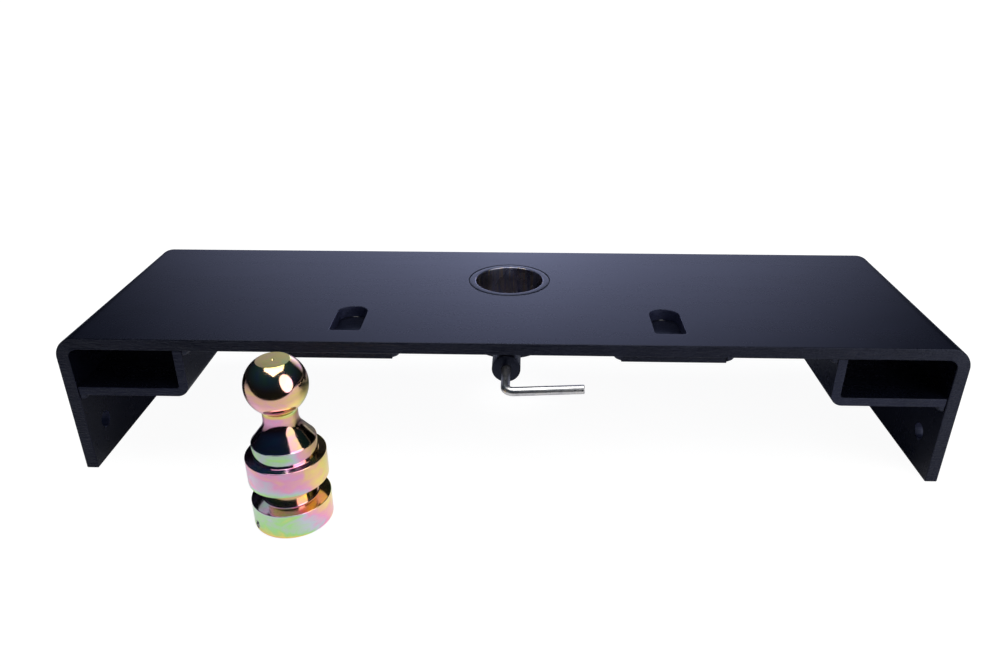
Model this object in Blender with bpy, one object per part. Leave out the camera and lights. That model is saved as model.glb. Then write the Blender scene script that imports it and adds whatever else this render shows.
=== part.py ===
"""Under-bed gooseneck hitch with its removable 2-5/16 inch ball.

A bent steel plate spans the truck's frame rails. It carries a round ball socket, a spring-loaded lock
pin with a pull handle, two chain slots backed by chain plates, and two welded pocket angles. The ball
stands beside the plate, on the same surface, as it does before it is dropped into the socket.

Metres, +Z up. X runs across the truck, -Y is the side of the pull handle, and Z = 0 is the surface
that the plate's two legs and the ball stand on.
"""

from math import acos, asin, cos, pi, radians, sin, sqrt, tan

import bmesh
import bpy
from mathutils import Vector

for old in list(bpy.data.objects):
    bpy.data.objects.remove(old, do_unlink=True)

# ---------------------------------------------------------------- driving dimensions

GAP = 0.0003                    # between pieces that touch
ROUND_STEPS = 40                # facets of a full turn on the larger round pieces
SMALL_STEPS = 24                # facets of a full turn on the small round pieces

PLATE_LENGTH = 0.9045
PLATE_DEPTH = 0.2540
PLATE_HEIGHT = 0.1564
PLATE_THICKNESS = 0.0127        # 1/2 inch plate
PLATE_BEND_RADIUS = 0.0222      # outer radius of the two bends
PLATE_Y = 0.0536                # middle of the plate, so that the whole kit is centred on the origin

LEG_HOLE_RADIUS = 0.00875       # for 5/8 inch bolts
LEG_HOLE_SPACING = 0.1836
LEG_HOLE_HEIGHT = 0.0403

SOCKET_Y = PLATE_Y + 0.0362     # the ball's line, behind the middle of the plate
SOCKET_RADIUS = 0.0464
SOCKET_BORE_RADIUS = 0.0386
SOCKET_LENGTH = 0.0794          # 3-1/8 inch tube, its top flush with the plate
SOCKET_CHAMFER = 0.0012
SEAT_RADIUS = 0.0310             # opening below the step that the ball's base sits on
SEAT_HEIGHT = 0.0906

SLOT_X = 0.1648
SLOT_WIDTH = 0.0313
SLOT_FRONT = 0.0270             # from the plate's front edge to the slot's straight edge
SLOT_LENGTH = 0.0576
SLOT_ARCH_RADIUS = 0.0150
SLOT_CORNER_RADIUS = 0.0030

CHAIN_PLATE_X = 0.1662
CHAIN_PLATE_WIDTH = 0.1038
CHAIN_PLATE_THICKNESS = 0.0095
CHAIN_PLATE_SETBACK = 0.0080    # behind the plate's front edge
CHAIN_PLATE_DEPTH = 0.0762
CHAIN_PLATE_WELD_LEG = 0.0085

POCKET_INNER_X = 0.3243         # face of the pocket's upright wall towards the socket
POCKET_THICKNESS = 0.0095
POCKET_FLOOR_Z = 0.0905         # underside of the pocket's floor
POCKET_BEND_RADIUS = 0.0127     # outer radius of the pocket angle's bend
POCKET_SETBACK = 0.0010
POCKET_WELD_LEG = 0.0060
POCKET_WELD_END = 0.0030        # how far each weld stops short of the pocket's ends

PIN_LINE_Z = 0.1280             # height of the lock pin's line
PIN_RADIUS = 0.0095
PIN_CLEARANCE = 0.00035
PIN_TIP = 0.0266                # all distances along the pin line are measured from the socket's centre
PIN_REAR = 0.1120
PIN_TIP_CHAMFER = 0.0025
HOUSING_RADIUS = 0.0143         # 1-1/8 inch round
CAP_THICKNESS = 0.0040
CAP_SPIGOT_LENGTH = 0.0050
CAP_CHAMFER = 0.0006
FRONT_FACE = SOCKET_Y - PLATE_Y + PLATE_DEPTH / 2
SOCKET_WELD_LEG = 0.0060
HOUSING_WELD_LEG = 0.0050

ROD_RADIUS = 0.0044
ROD_CLEARANCE = 0.00035
ROD_DEPTH_IN_PIN = 0.0215
BAR_DISTANCE = 0.2070           # line of the handle's cross bar
BAR_LENGTH = 0.0745
BAR_BEND_RADIUS = 0.0090
BAR_TILT = radians(3.1)
RETAINER_RADIUS = 0.0015
RETAINER_LENGTH = 0.0150
RETAINER_SETBACK = 0.0150       # from the lock pin's rear end
NECK_IN_ROD_RADIUS = 0.0028

SPRING_WIRE_RADIUS = 0.0011
SPRING_COIL_RADIUS = 0.0069
SPRING_TURNS = 7
SPRING_END_TURNS = 1.25

BALL_X = -0.2081
BALL_Y = PLATE_Y - 0.1961
RING_RADIUS = 0.0381
LOWER_RING_TOP = 0.0263
GROOVE_RADIUS = 0.0249
GROOVE_TOP = 0.0479
UPPER_RING_TOP = 0.0747
COLLAR_RADIUS = 0.0304
COLLAR_TOP = 0.0896
FLARE_ANGLE = radians(38)       # between the flare's straight side and the axis
FLARE_FILLET = 0.0200           # from the flare to the neck
NECK_RADIUS = 0.0164
BALL_FILLET = 0.0050            # from the neck to the ball
BALL_RADIUS = 0.02937           # 2-5/16 inch ball
BALL_CENTRE = 0.14805
BALL_FLAT_RADIUS = 0.0154
CENTRE_MARK_RADIUS = 0.0014

PLUNGER_ANGLE = radians(221.5)  # where the detent sits round the lower ring, from +X
PLUNGER_HEIGHT = 0.0068
PLUNGER_RADIUS = 0.0039
PLUNGER_LENGTH = 0.0120
PLUNGER_BORE_RADIUS = 0.0028
PLUNGER_BALL_RADIUS = 0.0025
PLUNGER_STAND_OUT = 0.0010

# ---------------------------------------------------------------- helpers


def material(name, colour, roughness, metallic=0.0):
    made = bpy.data.materials.new(name)
    made.use_nodes = True
    shader = made.node_tree.nodes["Principled BSDF"]
    shader.inputs["Base Color"].default_value = (*colour, 1.0)
    shader.inputs["Roughness"].default_value = roughness
    shader.inputs["Metallic"].default_value = metallic
    made.diffuse_color = (*colour, 1.0)
    return made


def empty(name, location=(0, 0, 0), rotation=(0, 0, 0), parent=None):
    made = bpy.data.objects.new(name, None)
    made.location = location
    made.rotation_euler = rotation
    made.parent = parent
    bpy.context.collection.objects.link(made)
    return made


def place(name, bm, finish, location=(0, 0, 0), rotation=(0, 0, 0), parent=None):
    """Turns a closed bmesh into a named object with its faces pointing out."""
    bmesh.ops.recalc_face_normals(bm, faces=bm.faces)
    mesh = bpy.data.meshes.new(name)
    bm.to_mesh(mesh)
    bm.free()
    mesh.shade_smooth()
    mesh.set_sharp_from_angle(angle=radians(35))
    if finish:
        mesh.materials.append(finish)
    made = bpy.data.objects.new(name, mesh)
    made.location = location
    made.rotation_euler = rotation
    made.parent = parent
    bpy.context.collection.objects.link(made)
    return made


def arc(centre, radius, start, end, steps):
    """Points of an arc in a plane, both ends included."""
    angles = [start + (end - start) * i / steps for i in range(steps + 1)]
    return [(centre[0] + radius * cos(a), centre[1] + radius * sin(a)) for a in angles]


def loft(sections, bm=None):
    """A closed body through sections of equal point count, with a flat cap on each end."""
    bm = bm or bmesh.new()
    rings = [[bm.verts.new(point) for point in section] for section in sections]
    count = len(rings[0])
    for near, far in zip(rings, rings[1:]):
        for i in range(count):
            j = (i + 1) % count
            bm.faces.new((near[i], near[j], far[j], far[i]))
    bm.faces.new(rings[0])
    bm.faces.new(rings[-1])
    return bm


def extrude_along_y(outline, front, back, bm=None):
    """A prism whose X-Z outline runs from front to back."""
    return loft([[(x, y, z) for x, z in outline] for y in (front, back)], bm)


def extrude_along_z(outline, low, high, bm=None):
    """A prism whose X-Y outline runs from low to high."""
    return loft([[(x, y, z) for x, y in outline] for z in (low, high)], bm)


def turned(profile, steps, closed=False):
    """Turns (radius, z) points round Z. An open profile starts and ends on the axis."""
    bm = bmesh.new()
    rings = []
    for radius, z in profile:
        if radius < 1e-7:
            rings.append([bm.verts.new((0, 0, z))])
            continue
        angles = [2 * pi * i / steps for i in range(steps)]
        rings.append([bm.verts.new((radius * cos(a), radius * sin(a), z)) for a in angles])
    pairs = list(zip(rings, rings[1:])) + ([(rings[-1], rings[0])] if closed else [])
    for first, second in pairs:
        for i in range(steps):
            j = (i + 1) % steps
            corners = [first[i % len(first)], first[j % len(first)]]
            corners += [second[j % len(second)], second[i % len(second)]]
            bm.faces.new(list(dict.fromkeys(corners)))
    return bm


def swept_rod(points, radii, sides):
    """A closed round rod along a smooth path, with its own radius at each point."""
    points = [Vector(p) for p in points]
    last = len(points) - 1
    side = None
    sections = []
    for i, point in enumerate(points):
        ahead = next((p for p in points[i + 1:] if (p - point).length > 1e-7), None)
        behind = next((p for p in reversed(points[:i]) if (p - point).length > 1e-7), None)
        tangent = ((ahead or point) - (behind or point)).normalized()
        side = tangent.orthogonal() if side is None else side - tangent * side.dot(tangent)
        side.normalize()
        up = tangent.cross(side)
        turn = [2 * pi * k / sides for k in range(sides)]
        sections.append([point + radii[min(i, last)] * (side * cos(a) + up * sin(a)) for a in turn])
    return loft(sections)


def cut(target, cutter):
    """Cuts one object with another, which stays as a guide."""
    cutter.hide_render = True
    cutter.display_type = "WIRE"
    boolean = target.modifiers.new("cut_" + cutter.name, "BOOLEAN")
    boolean.operation = "DIFFERENCE"
    boolean.solver = "EXACT"
    boolean.object = cutter


def fillet_weld(leg, bulge=0.18, steps=3):
    """Outline of a fillet weld in its corner: (along the first wall, along the second wall)."""
    points = [(0.0, 0.0)]
    for i in range(steps + 1):
        t = i / steps
        swell = bulge * leg * sin(pi * t)
        points.append((leg * (1 - t) + swell, leg * t + swell))
    return points


# ---------------------------------------------------------------- finishes


black_coat = material("black_powder_coat", (0.016, 0.017, 0.024), 0.38)
weld_coat = material("coated_weld", (0.014, 0.015, 0.020), 0.45)
bore_steel = material("machined_steel", (0.36, 0.36, 0.38), 0.25, 1.0)
zinc = material("bright_zinc", (0.72, 0.72, 0.74), 0.22, 1.0)
spring_steel = material("spring_steel", (0.30, 0.30, 0.32), 0.35, 1.0)
yellow_zinc = material("yellow_zinc", (0.80, 0.66, 0.42), 0.18, 1.0)

# ---------------------------------------------------------------- the bent plate and what is welded to it


def bent_plate_outline():
    half = PLATE_LENGTH / 2
    inside = PLATE_BEND_RADIUS - PLATE_THICKNESS
    bend_x = half - PLATE_BEND_RADIUS
    bend_z = PLATE_HEIGHT - PLATE_BEND_RADIUS
    outer = [(half, 0.0)]
    outer += arc((bend_x, bend_z), PLATE_BEND_RADIUS, 0, pi / 2, 8)
    inner = arc((bend_x, bend_z), inside, pi / 2, 0, 8) + [(half - PLATE_THICKNESS, 0.0)]
    mirrored_outer = [(-x, z) for x, z in reversed(outer)]
    mirrored_inner = [(-x, z) for x, z in reversed(inner)]
    return outer + mirrored_outer + mirrored_inner + inner


def slot_outline(centre_x):
    """D-shaped: a straight front edge, and a back edge with large round corners."""
    half = SLOT_WIDTH / 2
    front = -PLATE_DEPTH / 2 + SLOT_FRONT
    back = front + SLOT_LENGTH
    small, large = SLOT_CORNER_RADIUS, SLOT_ARCH_RADIUS
    points = arc((half - small, front + small), small, -pi / 2, 0, 3)
    points += arc((half - large, back - large), large, 0, pi / 2, 8)
    points += arc((-half + large, back - large), large, pi / 2, pi, 8)
    points += arc((-half + small, front + small), small, pi, 1.5 * pi, 3)
    return [(centre_x + x, y) for x, y in points]


def circle(centre, radius, steps):
    return arc(centre, radius, 0, 2 * pi * (steps - 1) / steps, steps - 1)


def center_plate(frame):
    body = extrude_along_y(bent_plate_outline(), -PLATE_DEPTH / 2, PLATE_DEPTH / 2)
    plate = place("center_plate", body, black_coat, parent=frame)

    low, high = PLATE_HEIGHT - 2 * PLATE_THICKNESS, PLATE_HEIGHT + PLATE_THICKNESS
    holes = extrude_along_z(circle((0, SOCKET_Y - PLATE_Y), SOCKET_RADIUS + GAP, ROUND_STEPS), low, high)
    for side in (-1, 1):
        extrude_along_z(slot_outline(side * SLOT_X), low, high, holes)
        for end in (-1, 1):
            leg_x = side * (PLATE_LENGTH - PLATE_THICKNESS) / 2
            ring = circle((end * LEG_HOLE_SPACING / 2, LEG_HOLE_HEIGHT), LEG_HOLE_RADIUS, SMALL_STEPS)
            xs = (leg_x - PLATE_THICKNESS, leg_x + PLATE_THICKNESS)
            loft([[(x, y, z) for y, z in ring] for x in xs], holes)
    cut(plate, place("plate_holes", holes, None, parent=frame))


def pocket_angle(side, frame):
    """L-shaped angle: an upright wall under the plate, bent outward into a floor that meets the leg."""
    top = PLATE_HEIGHT - PLATE_THICKNESS - GAP
    end = PLATE_LENGTH / 2 - PLATE_THICKNESS - GAP
    floor_top = POCKET_FLOOR_Z + POCKET_THICKNESS
    wall_outer = POCKET_INNER_X + POCKET_THICKNESS
    bend = (POCKET_INNER_X + POCKET_BEND_RADIUS, POCKET_FLOOR_Z + POCKET_BEND_RADIUS)
    outline = [(end, POCKET_FLOOR_Z), (end, floor_top)]
    outline += arc(bend, POCKET_BEND_RADIUS - POCKET_THICKNESS, 1.5 * pi, pi, 4)
    outline += [(wall_outer, top), (POCKET_INNER_X, top)]
    outline += arc(bend, POCKET_BEND_RADIUS, pi, 1.5 * pi, 6)
    half = PLATE_DEPTH / 2 - POCKET_SETBACK
    body = extrude_along_y([(side * x, z) for x, z in outline], -half, half)
    return place(SIDE_NAMES[side] + "_pocket_angle", body, black_coat, parent=frame)


def straight_weld(name, corner, directions, leg, front, back, frame):
    """A fillet weld along Y. The directions say which way its two legs run from the corner."""
    towards_x, towards_z = directions
    outline = [
        (corner[0] + towards_x * (GAP + along), corner[1] + towards_z * (GAP + down))
        for along, down in fillet_weld(leg)
    ]
    return place(name, extrude_along_y(outline, front, back), weld_coat, parent=frame)


def pocket_welds(side, frame):
    underside = PLATE_HEIGHT - PLATE_THICKNESS
    half = PLATE_DEPTH / 2 - POCKET_SETBACK - POCKET_WELD_END
    top_corner = (side * POCKET_INNER_X, underside)
    low_corner = (side * (PLATE_LENGTH / 2 - PLATE_THICKNESS), POCKET_FLOOR_Z)
    for label, corner in (("top", top_corner), ("bottom", low_corner)):
        name = SIDE_NAMES[side] + "_pocket_" + label + "_weld"
        straight_weld(name, corner, (-side, -1), POCKET_WELD_LEG, -half, half, frame)


def chain_plate(side, frame):
    """Flat plate welded under a chain slot, which closes the slot from below."""
    top = PLATE_HEIGHT - PLATE_THICKNESS - GAP
    half = CHAIN_PLATE_WIDTH / 2
    front = -PLATE_DEPTH / 2 + CHAIN_PLATE_SETBACK
    back = front + CHAIN_PLATE_DEPTH
    centre = side * CHAIN_PLATE_X
    corners = [(centre - half, front), (centre + half, front), (centre + half, back), (centre - half, back)]
    body = extrude_along_z(corners, top - CHAIN_PLATE_THICKNESS, top)
    name = SIDE_NAMES[side] + "_chain_plate"
    place(name, body, black_coat, parent=frame)
    for label, edge in (("inner", -side), ("outer", side)):
        corner = (centre + edge * half, PLATE_HEIGHT - PLATE_THICKNESS)
        weld_name = name + "_" + label + "_weld"
        straight_weld(weld_name, corner, (edge, -1), CHAIN_PLATE_WELD_LEG, front, back, frame)


# ---------------------------------------------------------------- the socket


def socket_tube(socket):
    low, high = PLATE_HEIGHT - SOCKET_LENGTH, PLATE_HEIGHT
    edge = SOCKET_CHAMFER
    profile = [
        (SOCKET_RADIUS, low),
        (SOCKET_RADIUS, high - edge),
        (SOCKET_RADIUS - edge, high),
        (SOCKET_BORE_RADIUS + edge, high),
        (SOCKET_BORE_RADIUS, high - edge),
        (SOCKET_BORE_RADIUS, SEAT_HEIGHT),
        (SEAT_RADIUS, SEAT_HEIGHT),
        (SEAT_RADIUS, low),
    ]
    tube = place("socket_tube", turned(profile, ROUND_STEPS, closed=True), black_coat, parent=socket)
    reach = 2 * SOCKET_RADIUS
    hole = extrude_along_z(circle((0, 0), PIN_RADIUS + PIN_CLEARANCE, SMALL_STEPS), 0, reach)
    side_hole = place("socket_side_hole", hole, None, (0, 0, PIN_LINE_Z), (pi / 2, 0, 0), socket)
    cut(tube, side_hole)


def socket_weld(socket):
    """Fillet weld under the plate, round the tube, open where the pin housing passes."""
    opening = radians(28)
    corner_radius = SOCKET_RADIUS + GAP
    top = PLATE_HEIGHT - PLATE_THICKNESS - GAP
    steps = 36
    sections = []
    for i in range(steps + 1):
        angle = -pi / 2 + opening + (2 * pi - 2 * opening) * i / steps
        sections.append([
            ((corner_radius + out) * cos(angle), (corner_radius + out) * sin(angle), top - down)
            for out, down in fillet_weld(SOCKET_WELD_LEG)
        ])
    place("socket_weld", loft(sections), weld_coat, parent=socket)


# ---------------------------------------------------------------- the lock pin line
# Its pieces are modelled along local Z, which points forward, out of the plate's front.


def pin_housing(line, socket):
    inner = PIN_RADIUS + PIN_CLEARANCE
    rear, front = SOCKET_BORE_RADIUS, FRONT_FACE - CAP_THICKNESS - GAP
    profile = [(HOUSING_RADIUS, rear), (HOUSING_RADIUS, front), (inner, front), (inner, rear)]
    housing = place("pin_housing", turned(profile, SMALL_STEPS, closed=True), black_coat, parent=line)
    tube_space = extrude_along_z(circle((0, 0), SOCKET_RADIUS + GAP, ROUND_STEPS), 0, PLATE_HEIGHT)
    cut(housing, place("housing_cope", tube_space, None, parent=socket))


def housing_weld(line):
    """Fillet weld where the housing meets the socket tube, open at the top under the plate."""
    tube = SOCKET_RADIUS + GAP
    start, end = radians(-230), radians(50)
    steps = 24
    sections = []
    for i in range(steps + 1):
        angle = start + (end - start) * i / steps
        section = []
        for out, forward in fillet_weld(HOUSING_WELD_LEG):
            radius = HOUSING_RADIUS + GAP + out
            x, y = radius * cos(angle), radius * sin(angle)
            section.append((x, y, sqrt(tube * tube - x * x) + GAP + forward))
        sections.append(section)
    place("housing_weld", loft(sections), weld_coat, parent=line)


def housing_cap(line):
    back = FRONT_FACE - CAP_THICKNESS
    hole = ROD_RADIUS + ROD_CLEARANCE
    profile = [
        (hole, back - CAP_SPIGOT_LENGTH),
        (PIN_RADIUS, back - CAP_SPIGOT_LENGTH),
        (PIN_RADIUS, back),
        (HOUSING_RADIUS, back),
        (HOUSING_RADIUS, FRONT_FACE - CAP_CHAMFER),
        (HOUSING_RADIUS - CAP_CHAMFER, FRONT_FACE),
        (hole, FRONT_FACE),
    ]
    place("housing_cap", turned(profile, SMALL_STEPS, closed=True), black_coat, parent=line)


def retainer_line():
    """Height of the retainer above the pin line, and its distance along it."""
    return NECK_IN_ROD_RADIUS + RETAINER_RADIUS + GAP, PIN_REAR - RETAINER_SETBACK


def lock_pin(line):
    bore = ROD_RADIUS + ROD_CLEARANCE
    bore_end = PIN_REAR - ROD_DEPTH_IN_PIN - GAP
    profile = [
        (0.0, PIN_TIP),
        (PIN_RADIUS - PIN_TIP_CHAMFER, PIN_TIP),
        (PIN_RADIUS, PIN_TIP + PIN_TIP_CHAMFER),
        (PIN_RADIUS, PIN_REAR - CAP_CHAMFER),
        (PIN_RADIUS - CAP_CHAMFER, PIN_REAR),
        (bore, PIN_REAR),
        (bore, bore_end),
        (0.0, bore_end),
    ]
    pin = place("lock_pin", turned(profile, SMALL_STEPS), bore_steel, parent=line)
    height, distance = retainer_line()
    ring = circle((height, distance), RETAINER_RADIUS + GAP, 12)
    hole = loft([[(x, y, z) for y, z in ring] for x in (-2 * PIN_RADIUS, 2 * PIN_RADIUS)])
    cut(pin, place("retainer_hole", hole, None, parent=line))


def handle_retainer(line):
    """Pin across the lock pin that sits in the rod's neck, so the handle turns but can't pull out."""
    height, distance = retainer_line()
    ring = circle((height, distance), RETAINER_RADIUS, 12)
    half = RETAINER_LENGTH / 2
    body = loft([[(x, y, z) for y, z in ring] for x in (-half, half)])
    place("handle_retainer", body, zinc, parent=line)


def lock_spring(line):
    """Compression spring round the rod, between the lock pin and the cap."""
    rear = PIN_REAR + GAP + SPRING_WIRE_RADIUS
    front = FRONT_FACE - CAP_THICKNESS - CAP_SPIGOT_LENGTH - GAP - SPRING_WIRE_RADIUS
    pitch_of_end = 2 * SPRING_WIRE_RADIUS + GAP
    turns = SPRING_TURNS + 2 * SPRING_END_TURNS
    end_rise = SPRING_END_TURNS * pitch_of_end
    steps = int(turns * 12)
    points = []
    for i in range(steps + 1):
        turn = turns * i / steps
        if turn < SPRING_END_TURNS:
            z = rear + turn * pitch_of_end
        elif turn > turns - SPRING_END_TURNS:
            z = front - (turns - turn) * pitch_of_end
        else:
            share = (turn - SPRING_END_TURNS) / SPRING_TURNS
            z = rear + end_rise + share * (front - rear - 2 * end_rise)
        angle = 2 * pi * turn
        points.append((SPRING_COIL_RADIUS * cos(angle), SPRING_COIL_RADIUS * sin(angle), z))
    body = swept_rod(points, [SPRING_WIRE_RADIUS] * len(points), 5)
    place("lock_spring", body, spring_steel, parent=line)


def pull_handle(swivel):
    """Rod that turns in the lock pin, leaves through the cap and bends into a cross bar."""
    distance = retainer_line()[1]
    neck_half = RETAINER_RADIUS + 2 * GAP
    tip = PIN_REAR - ROD_DEPTH_IN_PIN
    chamfer = 0.0007
    path = [
        ((0, 0, tip), ROD_RADIUS - chamfer),
        ((0, 0, tip + chamfer), ROD_RADIUS),
        ((0, 0, distance - neck_half), ROD_RADIUS),
        ((0, 0, distance - neck_half), NECK_IN_ROD_RADIUS),
        ((0, 0, distance + neck_half), NECK_IN_ROD_RADIUS),
        ((0, 0, distance + neck_half), ROD_RADIUS),
    ]
    bend = arc((BAR_BEND_RADIUS, BAR_DISTANCE - BAR_BEND_RADIUS), BAR_BEND_RADIUS, pi, pi / 2, 8)
    path += [((x, 0, z), ROD_RADIUS) for x, z in bend]
    path += [
        ((BAR_LENGTH - chamfer, 0, BAR_DISTANCE), ROD_RADIUS),
        ((BAR_LENGTH, 0, BAR_DISTANCE), ROD_RADIUS - chamfer),
    ]
    points = [point for point, radius in path]
    radii = [radius for point, radius in path]
    place("pull_handle", swept_rod(points, radii, 16), zinc, parent=swivel)


# ---------------------------------------------------------------- the ball


def ball_profile():
    """Outline from the base's centre up to the flat on top of the ball."""
    edge = 0.0008
    fillet = 0.0020
    profile = [(0, 0), (RING_RADIUS - 2 * edge, 0), (RING_RADIUS - edge, edge / 2), (RING_RADIUS, 2 * edge)]
    profile += [(RING_RADIUS, LOWER_RING_TOP - edge), (RING_RADIUS - edge, LOWER_RING_TOP)]
    groove_low = (GROOVE_RADIUS + fillet, LOWER_RING_TOP + fillet)
    groove_high = (GROOVE_RADIUS + fillet, GROOVE_TOP - fillet)
    profile += arc(groove_low, fillet, 1.5 * pi, pi, 3)
    profile += arc(groove_high, fillet, pi, pi / 2, 3)
    profile += [(RING_RADIUS - edge, GROOVE_TOP), (RING_RADIUS, GROOVE_TOP + edge)]
    profile += [(RING_RADIUS, UPPER_RING_TOP - edge), (RING_RADIUS - edge, UPPER_RING_TOP)]
    profile += [(COLLAR_RADIUS, UPPER_RING_TOP), (COLLAR_RADIUS, COLLAR_TOP)]
    profile += [(COLLAR_RADIUS - edge, COLLAR_TOP + edge)]
    widening = COLLAR_RADIUS - edge - NECK_RADIUS - FLARE_FILLET * (1 - cos(FLARE_ANGLE))
    neck_start = COLLAR_TOP + edge + widening / tan(FLARE_ANGLE) + FLARE_FILLET * sin(FLARE_ANGLE)
    profile += arc((NECK_RADIUS + FLARE_FILLET, neck_start), FLARE_FILLET, pi + FLARE_ANGLE, pi, 6)
    reach = BALL_RADIUS + BALL_FILLET
    start = -acos((NECK_RADIUS + BALL_FILLET) / reach)
    neck_end = BALL_CENTRE + reach * sin(start)
    profile += arc((NECK_RADIUS + BALL_FILLET, neck_end), BALL_FILLET, pi, pi + start, 4)
    end = asin(sqrt(BALL_RADIUS ** 2 - BALL_FLAT_RADIUS ** 2) / BALL_RADIUS)
    profile += arc((0, BALL_CENTRE), BALL_RADIUS, start, end, 12)[1:]
    top = BALL_CENTRE + BALL_RADIUS * sin(end)
    return profile + [(CENTRE_MARK_RADIUS, top), (0, top - CENTRE_MARK_RADIUS)]


def plunger_place(depth):
    """Centre and rotation of a piece at a depth behind the lower ring's face, its Z pointing out."""
    reach = RING_RADIUS - depth
    spot = (reach * cos(PLUNGER_ANGLE), reach * sin(PLUNGER_ANGLE), PLUNGER_HEIGHT)
    return spot, (0, pi / 2, PLUNGER_ANGLE)


def hitch_ball(stand):
    ball = place("hitch_ball", turned(ball_profile(), ROUND_STEPS), yellow_zinc, parent=stand)
    depth = PLUNGER_LENGTH + GAP
    hole = extrude_along_z(circle((0, 0), PLUNGER_RADIUS + GAP, 16), -depth, depth)
    spot, rotation = plunger_place(0)
    cut(ball, place("plunger_hole", hole, None, spot, rotation, stand))


def detent_plunger(stand):
    """Screwed-in plunger: a body with a blind bore, a small spring, and the ball that it pushes out."""
    face = -GAP
    back = -PLUNGER_LENGTH
    chamfer = 0.0004
    profile = [
        (0, back),
        (PLUNGER_RADIUS, back),
        (PLUNGER_RADIUS, face - chamfer),
        (PLUNGER_RADIUS - chamfer, face),
        (PLUNGER_BORE_RADIUS, face),
        (PLUNGER_BORE_RADIUS, back + 0.0020),
        (0, back + 0.0020),
    ]
    spot, rotation = plunger_place(0)
    place("plunger_body", turned(profile, 16), zinc, spot, rotation, stand)

    centre = PLUNGER_STAND_OUT - PLUNGER_BALL_RADIUS
    ball_spot = plunger_place(-centre)[0]
    ball = turned([(PLUNGER_BALL_RADIUS * cos(a), PLUNGER_BALL_RADIUS * sin(a))
                   for a in [-pi / 2 + pi * i / 10 for i in range(11)]], 16)
    place("plunger_ball", ball, zinc, ball_spot, rotation, stand)

    wire, coil, turns = 0.00025, 0.0019, 6
    low = back + 0.0020 + GAP + wire
    high = centre - PLUNGER_BALL_RADIUS - GAP - wire
    steps = turns * 8
    points = []
    for i in range(steps + 1):
        turn = 2 * pi * turns * i / steps
        points.append((coil * cos(turn), coil * sin(turn), low + (high - low) * i / steps))
    spring = swept_rod(points, [wire] * len(points), 4)
    place("plunger_spring", spring, spring_steel, spot, rotation, stand)


# ---------------------------------------------------------------- assembly

SIDE_NAMES = {-1: "left", 1: "right"}


def build():
    frame = empty("plate_origin", (0, PLATE_Y, 0))
    center_plate(frame)
    for side in (-1, 1):
        pocket_angle(side, frame)
        pocket_welds(side, frame)
        chain_plate(side, frame)

    socket = empty("socket_axis", (0, SOCKET_Y, 0))
    socket_tube(socket)
    socket_weld(socket)

    line = empty("pin_line", (0, SOCKET_Y, PIN_LINE_Z), (pi / 2, 0, 0))
    pin_housing(line, socket)
    housing_weld(line)
    housing_cap(line)
    lock_pin(line)
    handle_retainer(line)
    lock_spring(line)
    pull_handle(empty("handle_swivel", rotation=(0, 0, BAR_TILT), parent=line))

    stand = empty("ball_axis", (BALL_X, BALL_Y, 0))
    hitch_ball(stand)
    detent_plunger(stand)


build()
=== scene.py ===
"""Looks of the under-bed gooseneck hitch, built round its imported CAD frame. Metres, +Z up."""

from math import acos, cos, pi, radians, sin, sqrt, tan

import bmesh
import bpy
from mathutils import Matrix, Vector, noise


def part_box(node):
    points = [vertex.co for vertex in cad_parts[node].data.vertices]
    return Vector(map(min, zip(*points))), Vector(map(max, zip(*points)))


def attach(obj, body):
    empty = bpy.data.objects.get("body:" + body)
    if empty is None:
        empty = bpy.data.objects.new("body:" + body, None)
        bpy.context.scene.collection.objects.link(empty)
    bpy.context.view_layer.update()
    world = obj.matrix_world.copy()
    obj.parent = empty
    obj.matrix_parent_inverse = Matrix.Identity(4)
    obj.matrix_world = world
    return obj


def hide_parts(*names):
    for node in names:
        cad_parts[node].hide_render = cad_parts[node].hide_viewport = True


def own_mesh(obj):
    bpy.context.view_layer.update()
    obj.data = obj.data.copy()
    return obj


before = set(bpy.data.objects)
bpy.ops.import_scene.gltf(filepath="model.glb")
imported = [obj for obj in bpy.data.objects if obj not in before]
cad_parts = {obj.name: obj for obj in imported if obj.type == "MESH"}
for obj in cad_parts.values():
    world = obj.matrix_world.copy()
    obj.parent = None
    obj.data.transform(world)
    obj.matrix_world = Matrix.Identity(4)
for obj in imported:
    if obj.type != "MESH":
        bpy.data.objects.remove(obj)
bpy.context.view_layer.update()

# ---------------------------------------------------------------- sizes, from the frame where it has them

GAP = 0.0003
plate_low, plate_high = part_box("center_plate")
tube_low, tube_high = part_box("socket_tube")
chain_low, chain_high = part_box("right_chain_plate")
angle_low, angle_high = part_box("right_pocket_angle")
housing_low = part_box("pin_housing")[0]
cap_low, cap_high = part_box("housing_cap")
handle_low, handle_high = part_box("pull_handle")
retainer_low, retainer_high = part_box("handle_retainer")
ball_low, ball_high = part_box("hitch_ball")

PLATE_TOP = plate_high.z
PLATE_FRONT = plate_low.y
PLATE_BACK = plate_high.y
PLATE_Y = (PLATE_FRONT + PLATE_BACK) / 2
PLATE_HALF = plate_high.x
UNDERSIDE = chain_high.z + GAP
THICKNESS = PLATE_TOP - UNDERSIDE
BEND_RADIUS = 0.0222
INNER_BEND_RADIUS = 0.0095
PLATE_EDGE = 0.0009             # rounding of the coated plate's cut edges
BEND_HOLLOW = 0.0004            # how far a cut edge draws in on the outside of a bend
BEND_SWELL = 0.00055            # how far the front one swells on the inside of it

LEG_HOLE_RADIUS = 0.00875
LEG_HOLE_SPACING = 0.1836
LEG_HOLE_HEIGHT = 0.0403

SOCKET = Vector(((tube_low.x + tube_high.x) / 2, (tube_low.y + tube_high.y) / 2, PLATE_TOP))
TUBE_RADIUS = (tube_high.x - tube_low.x) / 2
BORE_RADIUS = 0.0386
SEAT_RADIUS = 0.0310
SEAT_HEIGHT = 0.0906

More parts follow.
